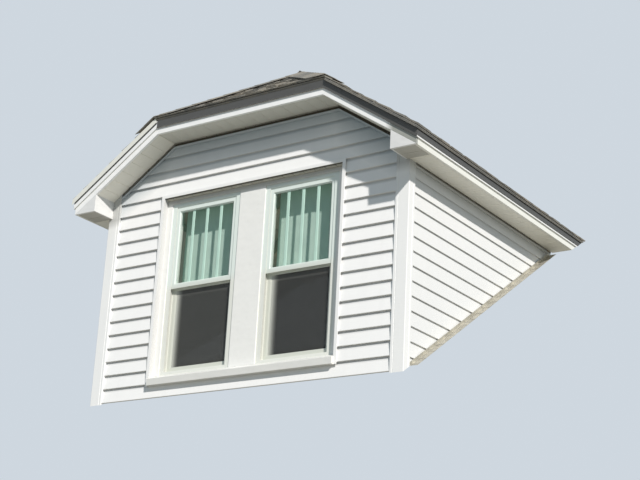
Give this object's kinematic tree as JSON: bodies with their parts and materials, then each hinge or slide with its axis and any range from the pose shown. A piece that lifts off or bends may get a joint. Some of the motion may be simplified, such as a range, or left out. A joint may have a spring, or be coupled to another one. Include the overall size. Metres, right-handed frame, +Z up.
{
  "type": "dormer window",
  "caption": "Clipped gable roof dormer with paired double hung windows, lap siding, boxed eaves and shingled roof, cut to sit on a 34 degree slope.",
  "frame": {"origin": "on the sloping underside of the sole plate, at the middle of the front wall's width and thickness", "axes": "+X to the right seen from the front, +Y back into the roof, +Z up"},
  "size_m": [3.04, 4.0958, 2.6062],
  "materials": {
    "framing_wood": "bare softwood framing and lining board",
    "white_siding": "white vinyl lap siding and corner posts",
    "white_casing": "white coated aluminium trim over wood casing and sill",
    "window_vinyl": "white vinyl window frames and sashes",
    "pane_glass": "clear double glazing with a green cast",
    "screen_mesh": "charcoal insect mesh",
    "shade_cloth": "pale roller shade cloth",
    "roller_metal": "white coated shade roller and brackets",
    "deck_boards": "roof deck with a dark metal drip edge",
    "roof_shingle": "mineral granules on asphalt, weathered grey brown",
    "white_fascia": "white coated aluminium fascia",
    "grey_soffit": "pale grey soffit panels",
    "flashing_metal": "mill finish flashing"
  },
  "bodies": {
    "root": {"sole_plate": "framing_wood", "front_wall_left": "framing_wood", "front_wall_right": "framing_wood", "front_wall_head": "framing_wood", "window_post": "framing_wood", "left_cheek_wall": "framing_wood", "right_cheek_wall": "framing_wood", "ridge_board": "framing_wood", "common_rafters": "framing_wood", "hip_rafters": "framing_wood", "front_siding": "white_siding", "left_cheek_siding": "white_siding", "right_cheek_siding": "white_siding", "left_corner_post": "white_siding", "right_corner_post": "white_siding", "window_casing": "white_casing", "window_sill": "white_casing", "left_window_frame": "window_vinyl", "right_window_frame": "window_vinyl", "left_upper_sash": "window_vinyl", "right_upper_sash": "window_vinyl", "left_lower_sash": "window_vinyl", "right_lower_sash": "window_vinyl", "window_glass": "pane_glass", "insect_screens": "screen_mesh", "left_shade": "shade_cloth", "right_shade": "shade_cloth", "shade_rollers": "roller_metal", "left_roof_deck": "deck_boards", "right_roof_deck": "deck_boards", "front_roof_deck": "deck_boards", "left_shingles": "roof_shingle", "right_shingles": "roof_shingle", "front_shingles": "roof_shingle", "ridge_and_hip_caps": "roof_shingle", "front_fascia": "white_fascia", "left_rake_fascia": "white_fascia", "right_rake_fascia": "white_fascia", "left_eave_fascia": "white_fascia", "right_eave_fascia": "white_fascia", "eave_returns": "white_fascia", "front_soffit": "grey_soffit", "rake_soffits": "grey_soffit", "eave_soffits": "grey_soffit", "step_flashings": "flashing_metal"}
  },
  "joints": []
}
